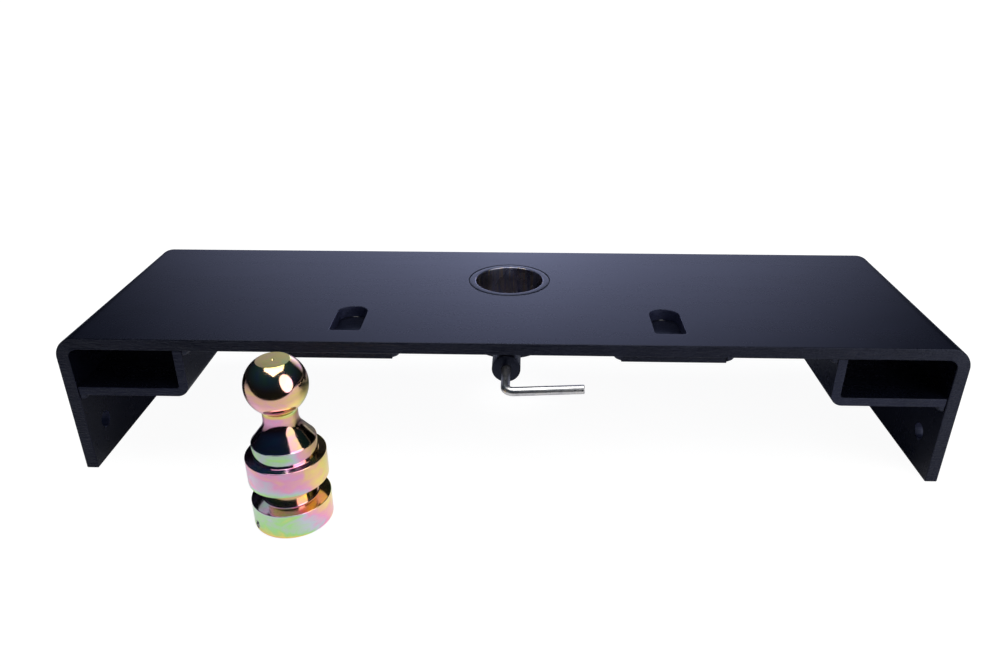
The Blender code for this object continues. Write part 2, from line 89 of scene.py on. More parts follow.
SLOT_X = 0.1648
SLOT_WIDTH = 0.0313
SLOT_FRONT = PLATE_FRONT + 0.0270
SLOT_LENGTH = 0.0576
SLOT_ARCH_RADIUS = 0.0150
SLOT_CORNER_RADIUS = 0.0030

ANGLE_THICKNESS = 0.0095
ANGLE_BEND_RADIUS = 0.0127
ANGLE_EDGE = 0.0007
CHAIN_PLATE_EDGE = 0.0003
CHAIN_PLATE_TAIL = 0.0018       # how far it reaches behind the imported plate, out of sight
POCKET_WELD_LEG = 0.0074
CHAIN_WELD_LEG = 0.0090
SOCKET_WELD_LEG = 0.0060
HOUSING_WELD_LEG = 0.0050
WELD_REACH = 0.0020             # how far a straight bead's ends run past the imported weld's

PIN_LINE = Vector((SOCKET.x, SOCKET.y, (cap_low.z + cap_high.z) / 2))
HOUSING_RADIUS = (cap_high.z - cap_low.z) / 2
PIN_RADIUS = 0.0095
PIN_BORE = 0.00985
CAP_THICKNESS = 0.0040
ROD_RADIUS = 0.0044
ROD_CLEARANCE = 0.00035
ROD_CHAMFER = 0.0008
ROD_NECK_RADIUS = 0.0028        # the neck that the retainer sits in
ROD_NECK_HALF = 0.0021
BAR_TILT = radians(3.1)
BAR_BEND_RADIUS = 0.0090
BAR_DISTANCE = SOCKET.y - handle_low.y - ROD_RADIUS

BALL = Vector(((ball_low.x + ball_high.x) / 2, (ball_low.y + ball_high.y) / 2, 0.0))
RING_RADIUS = (ball_high.x - ball_low.x) / 2
LOWER_RING_TOP = 0.0263
GROOVE_RADIUS = 0.0249
GROOVE_TOP = 0.0479
UPPER_RING_TOP = 0.0747
COLLAR_RADIUS = 0.0304
COLLAR_TOP = 0.0896
FLARE_ANGLE = radians(38)
FLARE_FILLET = 0.0200
NECK_RADIUS = 0.0164
SPHERE_FILLET = 0.0050
SPHERE_RADIUS = 0.02937
SPHERE_CENTRE = 0.14805
SPHERE_FLAT = 0.0154
BALL_EDGE = 0.0009
GROOVE_FILLET = 0.0020
PLUNGER_ANGLE = radians(221.5)
PLUNGER_HEIGHT = 0.0068
PLUNGER_RADIUS = 0.0039
PLUNGER_BORE_RADIUS = 0.0028
PLUNGER_BALL_RADIUS = 0.0025
PLUNGER_LENGTH = 0.0120
PLUNGER_FLOOR = 0.0020
PLUNGER_STAND_OUT = 0.0010

RIPPLE_PITCH = 0.0026           # from one ripple of a weld bead to the next
SIDE_NAMES = {-1: "left", 1: "right"}

# ---------------------------------------------------------------- mesh helpers


def new_object(name, bm, materials, angle=35):
    bmesh.ops.recalc_face_normals(bm, faces=bm.faces)
    mesh = bpy.data.meshes.new(name)
    bm.to_mesh(mesh)
    bm.free()
    mesh.shade_smooth()
    mesh.set_sharp_from_angle(angle=radians(angle))
    for finish in materials:
        mesh.materials.append(finish)
    made = bpy.data.objects.new(name, mesh)
    bpy.context.scene.collection.objects.link(made)
    return made


def arc(centre, radius, start, end, steps):
    angles = [start + (end - start) * i / steps for i in range(steps + 1)]
    return [(centre[0] + radius * cos(a), centre[1] + radius * sin(a)) for a in angles]


def circle(centre, radius, steps):
    return arc(centre, radius, 0, 2 * pi * (steps - 1) / steps, steps - 1)


def loft(sections, bm=None, side_index=0, cap_index=0):
    """Closed body through sections, with its own material index on the sides and on the caps."""
    bm = bm or bmesh.new()
    rings = [[bm.verts.new(point) for point in section] for section in sections]
    count = len(rings[0])
    for near, far in zip(rings, rings[1:]):
        for i in range(count):
            j = (i + 1) % count
            face = bm.faces.new((near[i], near[j], far[j], far[i]))
            face.material_index = side_index
    for ring in (rings[0], rings[-1]):
        bm.faces.new(ring).material_index = cap_index
    return bm


def turned(profile, steps, closed=False, index_at=None):
    """Turns (radius, z) points round Z; index_at(radius, z) may choose a face's material index."""
    bm = bmesh.new()
    rings = []
    for radius, z in profile:
        if radius < 1e-7:
            rings.append([bm.verts.new((0, 0, z))])
            continue
        angles = [2 * pi * i / steps for i in range(steps)]
        rings.append([bm.verts.new((radius * cos(a), radius * sin(a), z)) for a in angles])
    order = list(range(len(rings)))
    pairs = list(zip(order, order[1:])) + ([(order[-1], 0)] if closed else [])
    for a, b in pairs:
        first, second = rings[a], rings[b]
        middle = [(profile[a][k] + profile[b][k]) / 2 for k in (0, 1)]
        for i in range(steps):
            j = (i + 1) % steps
            corners = [first[i % len(first)], first[j % len(first)]]
            corners += [second[j % len(second)], second[i % len(second)]]
            face = bm.faces.new(list(dict.fromkeys(corners)))
            face.material_index = index_at(*middle) if index_at else 0
    return bm


def moved(bm, matrix):
    bmesh.ops.transform(bm, matrix=matrix, verts=bm.verts)
    return bm


def swept_rod(points, radii, sides):
    points = [Vector(p) for p in points]
    side = None
    sections = []
    for i, point in enumerate(points):
        ahead = next((p for p in points[i + 1:] if (p - point).length > 1e-7), point)
        behind = next((p for p in reversed(points[:i]) if (p - point).length > 1e-7), point)
        tangent = (ahead - behind).normalized()
        side = tangent.orthogonal() if side is None else side - tangent * side.dot(tangent)
        side.normalize()
        up = tangent.cross(side)
        turn = [2 * pi * k / sides for k in range(sides)]
        sections.append([point + radii[i] * (side * cos(a) + up * sin(a)) for a in turn])
    return loft(sections)


def boolean_cut(target, cutter):
    """Cuts the target and applies the result, then removes the cutter."""
    step = target.modifiers.new("cut", "BOOLEAN")
    step.operation = "DIFFERENCE"
    step.solver = "EXACT"
    step.object = cutter
    depsgraph = bpy.context.evaluated_depsgraph_get()
    result = bpy.data.meshes.new_from_object(target.evaluated_get(depsgraph))
    target.modifiers.clear()
    target.data = result
    bpy.data.objects.remove(cutter, do_unlink=True)


def round_edges(target, width):
    bevel = target.modifiers.new("rounded_edges", "BEVEL")
    bevel.width = width
    bevel.segments = 3
    bevel.limit_method = "ANGLE"
    bevel.angle_limit = radians(30)
    bevel.harden_normals = True
    bevel.use_clamp_overlap = True


def dress(piece, body, slot, *nodes):
    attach(piece, body)
    if nodes:
        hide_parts(*nodes)
    return piece


# ---------------------------------------------------------------- material helpers


class Finish:
    """A Principled material with a few shorthands for its nodes. Places are object coordinates."""

    def __init__(self, name, colour, roughness, metallic=0.0):
        self.material = bpy.data.materials.new(name)
        self.material.use_nodes = True
        self.tree = self.material.node_tree
        self.shader = self.tree.nodes["Principled BSDF"]
        self.set("Base Color", (*colour, 1.0))
        self.set("Roughness", roughness)
        self.set("Metallic", metallic)
        self.place = self.tree.nodes.new("ShaderNodeTexCoord").outputs["Object"]
        self.normal = None

    def node(self, kind, **settings):
        made = self.tree.nodes.new(kind)
        for key, value in settings.items():
            setattr(made, key, value)
        return made

    def link(self, out, into):
        self.tree.links.new(out, into)

    def set(self, name, value):
        self.shader.inputs[name].default_value = value

    def feed(self, name, out):
        self.link(out, self.shader.inputs[name])

    def scaled(self, scale):
        mapping = self.node("ShaderNodeMapping")
        mapping.inputs["Scale"].default_value = scale
        self.link(self.place, mapping.inputs["Vector"])
        return mapping.outputs["Vector"]

    def noise(self, scale, detail=2.0, roughness=0.5, place=None, distortion=0.0):
        made = self.node("ShaderNodeTexNoise")
        made.inputs["Scale"].default_value = scale
        made.inputs["Detail"].default_value = detail
        made.inputs["Roughness"].default_value = roughness
        made.inputs["Distortion"].default_value = distortion
        self.link(place or self.place, made.inputs["Vector"])
        return made.outputs["Fac"]

    def spread(self, value, low, high, from_low=0.3, from_high=0.7):
        made = self.node("ShaderNodeMapRange")
        made.inputs["From Min"].default_value = from_low
        made.inputs["From Max"].default_value = from_high
        made.inputs["To Min"].default_value = low
        made.inputs["To Max"].default_value = high
        self.link(value, made.inputs["Value"])
        return made.outputs["Result"]

    def ramp(self, value, stops):
        made = self.node("ShaderNodeValToRGB")
        elements = made.color_ramp.elements
        while len(elements) < len(stops):
            elements.new(0.5)
        for element, (position, colour) in zip(elements, stops):
            element.position = position
            element.color = (*colour, 1.0)
        self.link(value, made.inputs["Fac"])
        return made.outputs["Color"]

    def math(self, operation, first, second):
        made = self.node("ShaderNodeMath", operation=operation)
        for socket, value in zip(made.inputs, (first, second)):
            if isinstance(value, (int, float)):
                socket.default_value = value
            else:
                self.link(value, socket)
        return made.outputs["Value"]

    def mix(self, factor, first, second):
        """Mixes two colours; a Mix node's colour sockets come after its float and vector ones."""
        made = self.node("ShaderNodeMix", data_type="RGBA")
        self.link(factor, made.inputs[0])
        for socket, colour in ((made.inputs[6], first), (made.inputs[7], second)):
            if isinstance(colour, tuple):
                socket.default_value = (*colour, 1.0)
            else:
                self.link(colour, socket)
        return made.outputs[2]

    def bump(self, height, distance):
        """Adds a relief on top of the ones before it."""
        made = self.node("ShaderNodeBump")
        made.inputs["Distance"].default_value = distance
        made.inputs["Strength"].default_value = 1.0
        self.link(height, made.inputs["Height"])
        if self.normal:
            self.link(self.normal, made.inputs["Normal"])
        self.normal = made.outputs["Normal"]

    def done(self):
        if self.normal:
            self.feed("Normal", self.normal)
        return self.material


COAT_DARK = (0.0018, 0.0022, 0.0052)
COAT_LIGHT = (0.0030, 0.0036, 0.0080)
CUT_DARK = (0.0034, 0.0040, 0.0095)
CUT_LIGHT = (0.0062, 0.0070, 0.0150)
# Painted highlight: the grey that lightens the weld beads.
WELD_PAINTED_HIGHLIGHT = (0.016, 0.018, 0.030)
COAT_TINT = (0.66, 0.72, 1.0, 1.0)
COAT_SPECULAR = 0.30


def powder_coat(name, cut_edge=False, roughness=0.26, tone=1.0):
    """Semi-gloss black powder coat with fine orange peel; a cut edge shows its draglines through it."""
    dark, light = (CUT_DARK, CUT_LIGHT) if cut_edge else (COAT_DARK, COAT_LIGHT)
    # tone scales both colours; above 1 it makes a lighter copy of the coat, painted light wherever that copy
    # is used.
    dark, light = (tuple(tone * channel for channel in shade) for shade in (dark, light))
    finish = Finish(name, dark, roughness)
    finish.feed("Base Color", finish.mix(finish.spread(finish.noise(35, 4), 0, 1), dark, light))
    drift = finish.noise(1.0, 4, 0.6, place=finish.scaled((7, 80, 30)))
    drift = finish.spread(drift, roughness - 0.012, roughness + 0.018)
    grain = finish.spread(finish.noise(240, 4, 0.6), -0.008, 0.012)
    finish.feed("Roughness", finish.math("ADD", drift, grain))
    finish.set("Specular IOR Level", COAT_SPECULAR)
    finish.set("Specular Tint", COAT_TINT)
    if cut_edge:
        streaks = finish.noise(1.0, 3, 0.6, place=finish.scaled((75, 75, 520)), distortion=0.6)
        finish.bump(streaks, 0.0011)
        finish.bump(finish.noise(480, 3, 0.65), 0.0005)
    else:
        finish.bump(finish.noise(260, 2, 0.5), 0.000005)
    finish.bump(finish.noise(1000, 2, 0.5), 0.000003)
    return finish.done()


def weld_coat(name):
    """Powder coat over a weld bead, rougher than on the plates, with a lighter grey base that is a painted
    highlight on the beads.
    """
    finish = Finish(name, CUT_DARK, 0.36)
    finish.feed("Base Color", finish.mix(finish.spread(finish.noise(90, 4), 0, 1), CUT_LIGHT, WELD_PAINTED_HIGHLIGHT))
    finish.feed("Roughness", finish.spread(finish.noise(150, 4), 0.26, 0.44))
    finish.set("Specular IOR Level", COAT_SPECULAR)
    finish.set("Specular Tint", COAT_TINT)
    finish.bump(finish.noise(600, 3, 0.6), 0.00010)
    return finish.done()


def bore_steel(name):
    """Bored steel, dark and oily, with fine turning rings."""
    finish = Finish(name, (0.20, 0.18, 0.20), 0.18, 1.0)
    tone = finish.noise(1.0, 4, 0.6, place=finish.scaled((150, 150, 14)), distortion=0.8)
    finish.feed("Base Color", finish.ramp(tone, [
        (0.30, (0.18, 0.19, 0.30)),
        (0.48, (0.34, 0.35, 0.46)),
        (0.60, (0.50, 0.42, 0.36)),
        (0.75, (0.60, 0.57, 0.55)),
    ]))
    finish.feed("Roughness", finish.spread(finish.noise(40, 4), 0.20, 0.34))
    finish.bump(finish.noise(1.0, 2, 0.5, place=finish.scaled((6, 6, 2600))), 0.000012)
    return finish.done()


def bright_zinc(name):
    """Satin bright zinc plating, with a faint warm stain in places."""
    finish = Finish(name, (0.66, 0.65, 0.65), 0.15, 1.0)
    finish.feed("Base Color", finish.ramp(finish.noise(160, 4, 0.6), [
        (0.30, (0.55, 0.54, 0.55)),
        (0.55, (0.70, 0.69, 0.68)),
        (0.80, (0.78, 0.72, 0.66)),
    ]))
    finish.feed("Roughness", finish.spread(finish.noise(300, 3, 0.5), 0.27, 0.35))
    finish.bump(finish.noise(900, 2, 0.5), 0.0000012)
    return finish.done()


def spring_wire(name):
    """Drawn spring steel."""
    finish = Finish(name, (0.30, 0.30, 0.32), 0.34, 1.0)
    greys = [(0.3, (0.22, 0.22, 0.24)), (0.7, (0.40, 0.39, 0.38))]
    finish.feed("Base Color", finish.ramp(finish.noise(300, 4), greys))
    finish.bump(finish.noise(1500, 2), 0.00001)
    return finish.done()


def yellow_zinc(name):
    """Turned and polished steel under yellow zinc, whose thin film drifts through pink, gold and green."""
    finish = Finish(name, (0.86, 0.70, 0.46), 0.10, 1.0)
    split = finish.node("ShaderNodeSeparateXYZ")
    finish.link(finish.place, split.inputs["Vector"])
    height = finish.spread(split.outputs["Z"], 0.0, 1.0, 0.0, ball_high.z)
    sideways = finish.math("SUBTRACT", split.outputs["X"], BALL.x)
    sideways = finish.math("MULTIPLY", sideways, 0.94 / RING_RADIUS)
    endways = finish.math("SUBTRACT", split.outputs["Y"], BALL.y)
    endways = finish.math("MULTIPLY", endways, 0.34 / RING_RADIUS)
    across = finish.node("ShaderNodeMapRange", interpolation_type="SMOOTHSTEP")
    across.inputs["From Min"].default_value = -0.20
    across.inputs["From Max"].default_value = 1.10
    finish.link(finish.math("ADD", sideways, endways), across.inputs["Value"])

    def by_height(stops, unit=1.0):
        """A value that follows the ball's height, from (height in metres, value) stops."""
        return finish.ramp(height, [(z / ball_high.z, (value / unit,) * 3) for z, value in stops])

    # The film's phase rises by 1 for each turn through its colours and passes 1, so the ramps hold half.
    left = by_height([
        (0.0000, 0.18), (0.0035, 0.50), (0.0090, 0.62), (0.0250, 0.66), (0.0290, 1.32),
        (0.0460, 1.30), (0.0485, 0.62), (0.0540, 0.96), (0.0740, 1.00), (0.0780, 0.70),
        (0.0890, 0.66), (0.0920, 1.00), (0.1190, 1.02), (0.1205, 1.36), (0.1250, 1.44),
        (0.1300, 1.08), (0.1500, 1.16), (0.1720, 1.20), (0.1730, 1.36),
    ], 2)
    right = by_height([
        (0.0000, 1.22), (0.0050, 1.04), (0.0200, 1.40), (0.0300, 1.40), (0.0460, 1.42), (0.0500, 1.38),
        (0.1190, 1.42), (0.1260, 1.74), (0.1420, 1.56), (0.1560, 1.24), (0.1720, 1.16), (0.1730, 1.50),
    ], 2)
    wander = finish.noise(1.0, 3, 0.5, place=finish.scaled((42, 42, 70)), distortion=1.2)
    phase = finish.mix(across.outputs["Result"], left, right)
    phase = finish.math("ADD", finish.math("MULTIPLY", phase, 2.0), finish.spread(wander, -0.13, 0.13))
    film = finish.ramp(finish.math("FRACT", phase, 0.0), [
        (0.00, (0.95, 0.42, 0.66)),
        (0.18, (0.98, 0.58, 0.38)),
        (0.38, (0.98, 0.78, 0.22)),
        (0.60, (0.48, 0.84, 0.32)),
        (0.80, (0.64, 0.68, 0.74)),
        (1.00, (0.95, 0.42, 0.66)),
    ])
    # Painted shade: the film is darker in the groove between the rings (0.82) and on the flare under the
    # sphere (0.5 to 0.6).
    tone = by_height([
        (0.0262, 1.0), (0.0268, 0.82), (0.0474, 0.82), (0.0480, 1.0),
        (0.0900, 1.0), (0.0912, 0.50), (0.1080, 0.60), (0.1140, 1.0),
    ])
    finish.feed("Base Color", finish.mix(tone, (0.02, 0.02, 0.02), film))
    finish.feed("Roughness", finish.spread(finish.noise(60, 4, 0.6), 0.07, 0.15))
    finish.bump(finish.noise(1.0, 2, 0.5, place=finish.scaled((4, 4, 1800))), 0.000004)
    finish.bump(finish.noise(400, 3), 0.000006)
    return finish.done()


COAT = powder_coat("black_coat")
CUT_COAT = powder_coat("black_coat_on_cut_edges", cut_edge=True, roughness=0.30)
# Painted light: the pocket angles' cut ends get a copy of the cut-edge coat twice as light, for the glare
# that catches them.
ANGLE_COAT_PAINTED_LIGHT = powder_coat("black_coat_on_angle_edges_painted_lighter", cut_edge=True, roughness=0.30, tone=2.0)
# Painted light: the walls of the slots and leg holes get a copy four times as light, so their shaded walls
# read as lit.
SLOT_COAT_PAINTED_LIGHT = powder_coat("black_coat_in_slots_painted_lighter", cut_edge=True, roughness=0.34, tone=4.0)
WELD = weld_coat("coated_weld")
BORE = bore_steel("machined_bore")
ZINC = bright_zinc("bright_zinc")
WIRE = spring_wire("spring_wire")
YELLOW = yellow_zinc("yellow_zinc")

# ---------------------------------------------------------------- plates


def bent_plate_line():
    """Outer and inner points (x, z) from the right foot over the top to the left one.

    Each pair comes with its share of a bend, 0 on the flat and 1 in the bend's middle."""
    bend_x, bend_z = PLATE_HALF - BEND_RADIUS, PLATE_TOP - BEND_RADIUS
    steps = 28
    lead = 0.006                # the last stretch of flat beside a bend
    pairs = [((PLATE_HALF, 0.0), (PLATE_HALF - THICKNESS, 0.0), 0.0)]
    pairs.append(((PLATE_HALF, bend_z - lead), (PLATE_HALF - THICKNESS, bend_z - lead), 0.0))
    for k in range(steps + 1):
        turn = pi / 2 * k / steps
        outer = (bend_x + BEND_RADIUS * cos(turn), bend_z + BEND_RADIUS * sin(turn))
        inner = (bend_x + INNER_BEND_RADIUS * cos(turn), bend_z + INNER_BEND_RADIUS * sin(turn))
        pairs.append((outer, inner, sin(2 * turn)))
    pairs.append(((bend_x - lead, PLATE_TOP), (bend_x - lead, UNDERSIDE), 0.0))
    for outer, inner, share in reversed(list(pairs)):
        pairs.append(((-outer[0], outer[1]), (-inner[0], inner[1]), share))
    return pairs


def bent_plate():
    """Bending draws the cut edge in outside a bend and swells it inside, so the ends are a fine grid."""
    across = 8
    bm = bmesh.new()
    grids = []
    for y, out, swell in ((PLATE_FRONT, -1, BEND_SWELL), (PLATE_BACK, 1, 0.0)):
        grid = []
        for outer, inner, share in bent_plate_line():
            row = []
            for k in range(across + 1):
                t = k / across
                x, z = (outer[i] + (inner[i] - outer[i]) * t for i in (0, 1))
                push = share * (swell * t ** 3 - BEND_HOLLOW * (1 - t) ** 2)
                row.append(bm.verts.new((x, y + out * push, z)))
            grid.append(row)
        grids.append(grid)
    front, back = grids
    for grid in grids:
        for near, far in zip(grid, grid[1:]):
            for k in range(across):
                bm.faces.new((near[k], near[k + 1], far[k + 1], far[k])).material_index = 1
    for i in range(len(front) - 1):
        for k in (0, across):
            bm.faces.new((front[i][k], front[i + 1][k], back[i + 1][k], back[i][k])).material_index = 0
    for i in (0, -1):
        for k in range(across):
            bm.faces.new((front[i][k], front[i][k + 1], back[i][k + 1], back[i][k])).material_index = 1
    return bm


def slot_outline(centre_x):
    half = SLOT_WIDTH / 2
    front, back = SLOT_FRONT, SLOT_FRONT + SLOT_LENGTH
    small, large = SLOT_CORNER_RADIUS, SLOT_ARCH_RADIUS
    points = arc((half - small, front + small), small, -pi / 2, 0, 6)
    points += arc((half - large, back - large), large, 0, pi / 2, 14)
    points += arc((-half + large, back - large), large, pi / 2, pi, 14)
    points += arc((-half + small, front + small), small, pi, 1.5 * pi, 6)
    return [(centre_x + x, y) for x, y in points]


def center_plate():
    """Its ends and the socket's hole get the cut edges' coat; the slots and leg holes get a four times
    lighter copy of it, painted light on their shaded walls.
    """
    plate = new_object("center_plate_look", bent_plate(), [COAT, CUT_COAT, SLOT_COAT_PAINTED_LIGHT])
    low, high = UNDERSIDE - THICKNESS, PLATE_TOP + THICKNESS
    ring = circle((SOCKET.x, SOCKET.y), TUBE_RADIUS + GAP, 96)
    holes = loft([[(x, y, z) for x, y in ring] for z in (low, high)], None, 1, 1)
    for side in (-1, 1):
        slot = slot_outline(side * SLOT_X)
        loft([[(x, y, z) for x, y in slot] for z in (low, high)], holes, 2, 2)
        leg_x = side * (PLATE_HALF - THICKNESS / 2)
        for end in (-1, 1):
            ring = circle((PLATE_Y + end * LEG_HOLE_SPACING / 2, LEG_HOLE_HEIGHT), LEG_HOLE_RADIUS, 40)
            xs = (leg_x - THICKNESS, leg_x + THICKNESS)
            loft([[(x, y, z) for y, z in ring] for x in xs], holes, 2, 2)
    boolean_cut(plate, new_object("plate_holes", holes, [COAT, CUT_COAT, SLOT_COAT_PAINTED_LIGHT]))
    round_edges(plate, PLATE_EDGE)
    return dress(plate, "hitch_frame", "black_coat", "center_plate")


def pocket_angle(side):
    top, end = angle_high.z, angle_high.x
    inner_x, floor_low = angle_low.x, angle_low.z
    floor_top = floor_low + ANGLE_THICKNESS
    bend = (inner_x + ANGLE_BEND_RADIUS, floor_low + ANGLE_BEND_RADIUS)
    outline = [(end, floor_low), (end, floor_top)]
    outline += arc(bend, ANGLE_BEND_RADIUS - ANGLE_THICKNESS, 1.5 * pi, pi, 8)
    outline += [(inner_x + ANGLE_THICKNESS, top), (inner_x, top)]
    outline += arc(bend, ANGLE_BEND_RADIUS, pi, 1.5 * pi, 16)
    body = loft([[(side * x, y, z) for x, z in outline] for y in (angle_low.y, angle_high.y)], None, 0, 1)
    name = SIDE_NAMES[side] + "_pocket_angle"
    # The cut ends take the lighter copy of the cut-edge coat: painted light.
    piece = new_object(name + "_look", body, [COAT, ANGLE_COAT_PAINTED_LIGHT])
    round_edges(piece, ANGLE_EDGE)
    return dress(piece, "hitch_frame", "black_coat", name)


def chain_plate(side):
    left, right = sorted((side * chain_low.x, side * chain_high.x))
    outline = [(left, chain_low.z), (right, chain_low.z), (right, chain_high.z), (left, chain_high.z)]
    body = loft([[(x, y, z) for x, z in outline] for y in (chain_low.y, chain_high.y + CHAIN_PLATE_TAIL)])
    name = SIDE_NAMES[side] + "_chain_plate"
    piece = new_object(name + "_look", body, [CUT_COAT])
    round_edges(piece, CHAIN_PLATE_EDGE)
    return dress(piece, "hitch_frame", "black_coat", name)


# ---------------------------------------------------------------- weld beads


def weld_bead(node, corner_at, length, leg, seed):
    """A rippled fillet weld. corner_at(share) gives the corner and its two outward directions."""
    steps = max(24, int(4 * length / RIPPLE_PITCH))
    across = 9
    sections = []
    for i in range(steps + 1):
        share = i / steps
        travelled = share * length
        corner, first, second = corner_at(share)
        end = min(travelled, length - travelled)
        taper = 0.62 + 0.38 * sqrt(max(0.0, min(1.0, end / (0.6 * leg))))
        wander = 1 + 0.07 * noise.noise(Vector((travelled * 90, seed, 0)))
        reach = leg * taper * wander
        section = [corner]
        for k in range(across + 1):
            t = k / across
            phase = travelled / RIPPLE_PITCH + 1.6 * (t - 0.5) ** 2
            scallop = abs(sin(pi * phase)) - 0.5
            swell = (0.16 * leg + 0.00030 * scallop) * sin(pi * t) * taper
            swell += 0.00010 * noise.noise(Vector((travelled * 700, 9 * t, seed))) * sin(pi * t)
            section.append(corner + first * (reach * (1 - t) + swell) + second * (reach * t + swell))
        sections.append(section)
    piece = new_object(node + "_bead", loft(sections), [WELD], angle=60)
    return dress(piece, "hitch_frame", "coated_weld", node)


def straight_weld(node, corner_x, corner_z, towards_x, leg, seed):
    """A bead along Y under the corner (x, z), with one leg sideways and the other down."""
    low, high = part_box(node)
    first, second = Vector((towards_x, 0, 0)), Vector((0, 0, -1))
    front, back = low.y - WELD_REACH, high.y + WELD_REACH

    def corner_at(share):
        y = front + share * (back - front)
        return Vector((corner_x + towards_x * GAP, y, corner_z - GAP)), first, second

    weld_bead(node, corner_at, back - front, leg, seed)


def all_straight_welds():
    for side in (-1, 1):
        name = SIDE_NAMES[side]
        web_face, leg_face = side * angle_low.x, side * (PLATE_HALF - THICKNESS)
        straight_weld(name + "_pocket_top_weld", web_face, UNDERSIDE, -side, POCKET_WELD_LEG, 3 + side)
        straight_weld(name + "_pocket_bottom_weld", leg_face, angle_low.z, -side, POCKET_WELD_LEG, 7 + side)
        inner, outer = name + "_chain_plate_inner_weld", name + "_chain_plate_outer_weld"
        straight_weld(inner, side * chain_low.x, UNDERSIDE, -side, CHAIN_WELD_LEG, 11 + side)
        straight_weld(outer, side * chain_high.x, UNDERSIDE, side, CHAIN_WELD_LEG, 15 + side)


def socket_weld():
    """Round the tube under the plate, open at the front where the housing is."""
    opening = radians(28)
    whole = 2 * pi - 2 * opening
    radius = TUBE_RADIUS + GAP

    def corner_at(share):
        angle = -pi / 2 + opening + whole * share
        out = Vector((cos(angle), sin(angle), 0))
        return Vector((SOCKET.x, SOCKET.y, UNDERSIDE - GAP)) + out * radius, out, Vector((0, 0, -1))

    weld_bead("socket_weld", corner_at, whole * radius, SOCKET_WELD_LEG, 21)


def housing_weld():
    """Where the round housing meets the round tube, open at the top."""
    tube, radius = TUBE_RADIUS + GAP, HOUSING_RADIUS + GAP
    start, end = radians(-230), radians(50)

    def corner_at(share):
        angle = start + (end - start) * share
        out = Vector((cos(angle), 0, sin(angle)))
        x = radius * cos(angle)
        depth = sqrt(tube * tube - x * x)
        spot = PIN_LINE + out * radius + Vector((0, -depth - GAP, 0))
        slope = x / depth
        along = Vector((cos(angle), slope * cos(angle), sin(angle)))
        return spot, along, Vector((0, -1, 0))

    weld_bead("housing_weld", corner_at, (end - start) * radius, HOUSING_WELD_LEG, 25)


# ---------------------------------------------------------------- socket and pin line


def socket_tube():
    """Its top outer edge is ground down a little, so a fine groove shows round it in the plate."""
    low, high, edge = tube_low.z, tube_high.z, 0.0012
    grind, dip, corner, lip = 0.0013, 0.00045, 0.0005, 0.0010
    profile = [(TUBE_RADIUS - edge, low), (TUBE_RADIUS, low + edge), (TUBE_RADIUS, high - dip - 2 * corner)]
    profile += arc((TUBE_RADIUS - corner, high - dip - corner), corner, 0, radians(70), 4)
    profile += [(TUBE_RADIUS - grind, high - 0.00004), (TUBE_RADIUS - grind - 0.0003, high)]
    profile += arc((BORE_RADIUS + lip, high - lip), lip, pi / 2, pi, 8)
    profile += [(BORE_RADIUS, SEAT_HEIGHT), (SEAT_RADIUS + edge / 2, SEAT_HEIGHT)]
    profile += [(SEAT_RADIUS, SEAT_HEIGHT - edge / 2), (SEAT_RADIUS, low)]

    def index_at(radius, z):
        return 1 if radius < BORE_RADIUS + lip and low + edge < z < high - 0.00002 else 0

    place = Matrix.Translation((SOCKET.x, SOCKET.y, 0))
    tube = new_object("socket_tube_look", moved(turned(profile, 128, True, index_at), place), [COAT, BORE])
    ring = circle((PIN_LINE.x, PIN_LINE.z), PIN_BORE, 48)
    ys = (SOCKET.y - 2 * TUBE_RADIUS, SOCKET.y)
    hole = loft([[(x, y, z) for x, z in ring] for y in ys], None, 1, 1)
    boolean_cut(tube, new_object("side_hole", hole, [COAT, BORE]))
    return dress(tube, "hitch_frame", "socket_steel", "socket_tube")


def pin_line_matrix(turn=0.0):
    """Local Z runs forward along the pin line, from the socket's axis."""
    return Matrix.Translation(PIN_LINE) @ Matrix.Rotation(pi / 2, 4, "X") @ Matrix.Rotation(turn, 4, "Z")


def pin_housing():
    front = SOCKET.y - housing_low.y
    edge = 0.0004
    profile = [(HOUSING_RADIUS, BORE_RADIUS), (HOUSING_RADIUS, front - edge), (HOUSING_RADIUS - edge, front)]
    profile += [(PIN_BORE, front), (PIN_BORE, BORE_RADIUS)]
    body = moved(turned(profile, 64, True), pin_line_matrix())
    housing = new_object("pin_housing_look", body, [COAT])
    ring = circle((SOCKET.x, SOCKET.y), TUBE_RADIUS + GAP, 96)
    cope = loft([[(x, y, z) for x, y in ring] for z in (0, PLATE_TOP)])
    boolean_cut(housing, new_object("cope", cope, [COAT]))
    return dress(housing, "hitch_frame", "black_coat", "pin_housing")


def housing_cap():
    """A disc, with a spigot behind it inside the housing's bore."""
    front, rear = SOCKET.y - cap_low.y, SOCKET.y - cap_high.y
    back = SOCKET.y - PLATE_FRONT - CAP_THICKNESS
    hole, edge = ROD_RADIUS + ROD_CLEARANCE, 0.0006
    profile = [(hole, rear), (PIN_RADIUS, rear), (PIN_RADIUS, back), (HOUSING_RADIUS, back)]
    profile += arc((HOUSING_RADIUS - edge, front - edge), edge, 0, pi / 2, 5)
    profile += [(hole + edge / 2, front), (hole, front - edge / 2)]
    body = moved(turned(profile, 72, True), pin_line_matrix())
    cap = new_object("housing_cap_look", body, [COAT])
    return dress(cap, "hitch_frame", "black_coat", "housing_cap")


